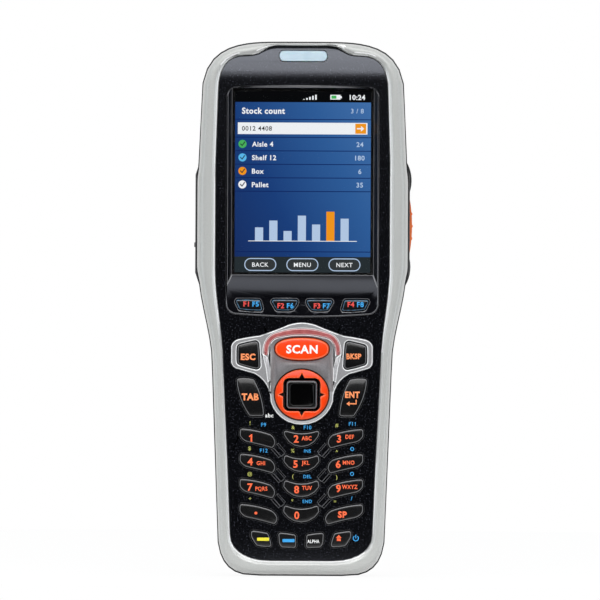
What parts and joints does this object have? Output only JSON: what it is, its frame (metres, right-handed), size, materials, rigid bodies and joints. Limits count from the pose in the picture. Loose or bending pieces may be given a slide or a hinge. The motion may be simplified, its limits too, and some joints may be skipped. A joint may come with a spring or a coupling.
{
  "type": "portable barcode data terminal",
  "caption": "Handheld data terminal with a flared display head, keypad, orange scan key and navigation ring, side trigger, end scanner, battery door and port door.",
  "frame": {"origin": "centre of the flat foot at the lower end", "axes": "+Z from the foot to the head, -Y out of the display, +X to the right seen from the front"},
  "size_m": [0.0697, 0.0325, 0.1702],
  "materials": {
    "black_shell": "fine-textured moulded black",
    "silver_frame": "satin silver paint on moulded plastic",
    "panel_black": "satin black with a fine metallic fleck",
    "surround_gloss": "gloss black",
    "screen_glass": "clear touch film over glass",
    "display": "lit picture",
    "gasket_foam": "matt foam",
    "lamp_lens": "frosted pale blue lens",
    "plate_silver": "satin silver paint",
    "light_guide_red": "translucent red",
    "key_orange": "orange, glossy",
    "key_black": "black, glossy with printed legends",
    "trigger_orange": "orange, satin",
    "carrier_black": "moulded black",
    "membrane_rubber": "silicone",
    "dome_steel": "stamped",
    "board_green": "solder mask",
    "gold_contacts": "gold plated",
    "battery_wrap": "dark cell wrap",
    "engine_grey": "die-cast grey",
    "scan_glass": "dark red filter",
    "switch_cream": "moulded"
  },
  "bodies": {
    "case": {"back_housing": "black_shell", "front_frame": "silver_frame", "front_panel": "panel_black", "display_surround": "surround_gloss", "touch_panel": "screen_glass", "display_gasket": "gasket_foam", "display_module": "display", "led_lens": "lamp_lens", "key_plate": "plate_silver", "scan_light_guide": "light_guide_red", "keypad_membrane": "membrane_rubber", "keypad_domes": "dome_steel", "keypad_board": "board_green", "main_board": "board_green", "board_screws": "dome_steel", "housing_screws": "dome_steel", "battery_door_pin": "dome_steel", "battery_pack": "battery_wrap", "battery_contacts": "gold_contacts", "scan_engine": "engine_grey", "scan_window": "scan_glass", "trigger_switch": "switch_cream", "port_door_pin": "dome_steel", "usb_socket": "dome_steel", "io_connector": "carrier_black", "speaker": "carrier_black", "antenna": "gold_contacts"},
    "battery_door": {"battery_door": "black_shell"},
    "battery_latch": {"battery_latch": "trigger_orange"},
    "port_door": {"port_door": "black_shell"},
    "side_trigger": {"side_trigger": "trigger_orange"},
    "nav_carrier": {"nav_carrier": "carrier_black"},
    "nav_ring": {"nav_ring": "key_orange"},
    "nav_centre_key": {"nav_centre_key": "key_black"},
    "key_scan": {"key_scan": "key_orange"},
    "key_escape": {"key_escape": "key_black"},
    "key_backspace": {"key_backspace": "key_black"},
    "key_tab": {"key_tab": "key_black"},
    "key_enter": {"key_enter": "key_black"},
    "key_yellow": {"key_yellow": "key_black"},
    "key_power": {"key_power": "key_black"},
    "key_f1": {"key_f1": "key_black"},
    "key_f2": {"key_f2": "key_black"},
    "key_f3": {"key_f3": "key_black"},
    "key_f4": {"key_f4": "key_black"},
    "key_1": {"key_1": "key_black"},
    "key_2": {"key_2": "key_black"},
    "key_3": {"key_3": "key_black"},
    "key_4": {"key_4": "key_black"},
    "key_5": {"key_5": "key_black"},
    "key_6": {"key_6": "key_black"},
    "key_7": {"key_7": "key_black"},
    "key_8": {"key_8": "key_black"},
    "key_9": {"key_9": "key_black"},
    "key_0": {"key_0": "key_black"},
    "key_dot": {"key_dot": "key_black"},
    "key_space": {"key_space": "key_black"},
    "key_blue": {"key_blue": "key_black"},
    "key_alpha": {"key_alpha": "key_black"}
  },
  "joints": [
    {"name": "battery_door_hinge", "type": "hinge", "parent": "case", "child": "battery_door", "pos_m": [0, 0.0129, 0.0105], "axis": [-1, 0, 0], "range_deg": [0, 75]},
    {"name": "battery_latch_slide", "type": "slide", "parent": "battery_door", "child": "battery_latch", "axis": [0, 0, 1], "range_m": [0, 0.0028]},
    {"name": "port_door_hinge", "type": "hinge", "parent": "case", "child": "port_door", "pos_m": [-0.0332, 0.0026, 0.11635], "axis": [0, 1, 0], "range_deg": [0, 100]},
    {"name": "side_trigger_press", "type": "slide", "parent": "case", "child": "side_trigger", "axis": [-1, 0, 0], "range_m": [0, 0.0008], "stiffness_N_per_m": 1200},
    {"name": "nav_tilt_up_down", "type": "hinge", "parent": "case", "child": "nav_carrier", "pos_m": [0, -0.01025, 0.0578], "axis": [1, 0, 0], "range_deg": [-2, 2], "stiffness_Nm_per_rad": 0.5},
    {"name": "nav_tilt_left_right", "type": "hinge", "parent": "nav_carrier", "child": "nav_ring", "pos_m": [0, -0.0107, 0.0578], "axis": [0, 0, 1], "range_deg": [-2, 2], "stiffness_Nm_per_rad": 0.5},
    {"name": "nav_centre_press", "type": "slide", "parent": "case", "child": "nav_centre_key", "axis": [0, 1, 0], "range_m": [0, 0.0006], "stiffness_N_per_m": 800},
    {"name": "key_scan_press", "type": "slide", "parent": "case", "child": "key_scan", "axis": [0, 1, 0], "range_m": [0, 0.0006], "stiffness_N_per_m": 800},
    {"name": "key_escape_press", "type": "slide", "parent": "case", "child": "key_escape", "axis": [0, 1, 0], "range_m": [0, 0.0006], "stiffness_N_per_m": 800},
    {"name": "key_backspace_press", "type": "slide", "parent": "case", "child": "key_backspace", "axis": [0, 1, 0], "range_m": [0, 0.0006], "stiffness_N_per_m": 800},
    {"name": "key_tab_press", "type": "slide", "parent": "case", "child": "key_tab", "axis": [0, 1, 0], "range_m": [0, 0.0006], "stiffness_N_per_m": 800},
    {"name": "key_enter_press", "type": "slide", "parent": "case", "child": "key_enter", "axis": [0, 1, 0], "range_m": [0, 0.0006], "stiffness_N_per_m": 800},
    {"name": "key_yellow_press", "type": "slide", "parent": "case", "child": "key_yellow", "axis": [0, 1, 0], "range_m": [0, 0.0006], "stiffness_N_per_m": 800},
    {"name": "key_power_press", "type": "slide", "parent": "case", "child": "key_power", "axis": [0, 1, 0], "range_m": [0, 0.0006], "stiffness_N_per_m": 800},
    {"name": "key_f1_press", "type": "slide", "parent": "case", "child": "key_f1", "axis": [0, 1, 0], "range_m": [0, 0.0006], "stiffness_N_per_m": 800},
    {"name": "key_f2_press", "type": "slide", "parent": "case", "child": "key_f2", "axis": [0, 1, 0], "range_m": [0, 0.0006], "stiffness_N_per_m": 800},
    {"name": "key_f3_press", "type": "slide", "parent": "case", "child": "key_f3", "axis": [0, 1, 0], "range_m": [0, 0.0006], "stiffness_N_per_m": 800},
    {"name": "key_f4_press", "type": "slide", "parent": "case", "child": "key_f4", "axis": [0, 1, 0], "range_m": [0, 0.0006], "stiffness_N_per_m": 800},
    {"name": "key_1_press", "type": "slide", "parent": "case", "child": "key_1", "axis": [0, 1, 0], "range_m": [0, 0.0006], "stiffness_N_per_m": 800},
    {"name": "key_2_press", "type": "slide", "parent": "case", "child": "key_2", "axis": [0, 1, 0], "range_m": [0, 0.0006], "stiffness_N_per_m": 800},
    {"name": "key_3_press", "type": "slide", "parent": "case", "child": "key_3", "axis": [0, 1, 0], "range_m": [0, 0.0006], "stiffness_N_per_m": 800},
    {"name": "key_4_press", "type": "slide", "parent": "case", "child": "key_4", "axis": [0, 1, 0], "range_m": [0, 0.0006], "stiffness_N_per_m": 800},
    {"name": "key_5_press", "type": "slide", "parent": "case", "child": "key_5", "axis": [0, 1, 0], "range_m": [0, 0.0006], "stiffness_N_per_m": 800},
    {"name": "key_6_press", "type": "slide", "parent": "case", "child": "key_6", "axis": [0, 1, 0], "range_m": [0, 0.0006], "stiffness_N_per_m": 800},
    {"name": "key_7_press", "type": "slide", "parent": "case", "child": "key_7", "axis": [0, 1, 0], "range_m": [0, 0.0006], "stiffness_N_per_m": 800},
    {"name": "key_8_press", "type": "slide", "parent": "case", "child": "key_8", "axis": [0, 1, 0], "range_m": [0, 0.0006], "stiffness_N_per_m": 800},
    {"name": "key_9_press", "type": "slide", "parent": "case", "child": "key_9", "axis": [0, 1, 0], "range_m": [0, 0.0006], "stiffness_N_per_m": 800},
    {"name": "key_0_press", "type": "slide", "parent": "case", "child": "key_0", "axis": [0, 1, 0], "range_m": [0, 0.0006], "stiffness_N_per_m": 800},
    {"name": "key_dot_press", "type": "slide", "parent": "case", "child": "key_dot", "axis": [0, 1, 0], "range_m": [0, 0.0006], "stiffness_N_per_m": 800},
    {"name": "key_space_press", "type": "slide", "parent": "case", "child": "key_space", "axis": [0, 1, 0], "range_m": [0, 0.0006], "stiffness_N_per_m": 800},
    {"name": "key_blue_press", "type": "slide", "parent": "case", "child": "key_blue", "axis": [0, 1, 0], "range_m": [0, 0.0006], "stiffness_N_per_m": 800},
    {"name": "key_alpha_press", "type": "slide", "parent": "case", "child": "key_alpha", "axis": [0, 1, 0], "range_m": [0, 0.0006], "stiffness_N_per_m": 800}
  ]
}
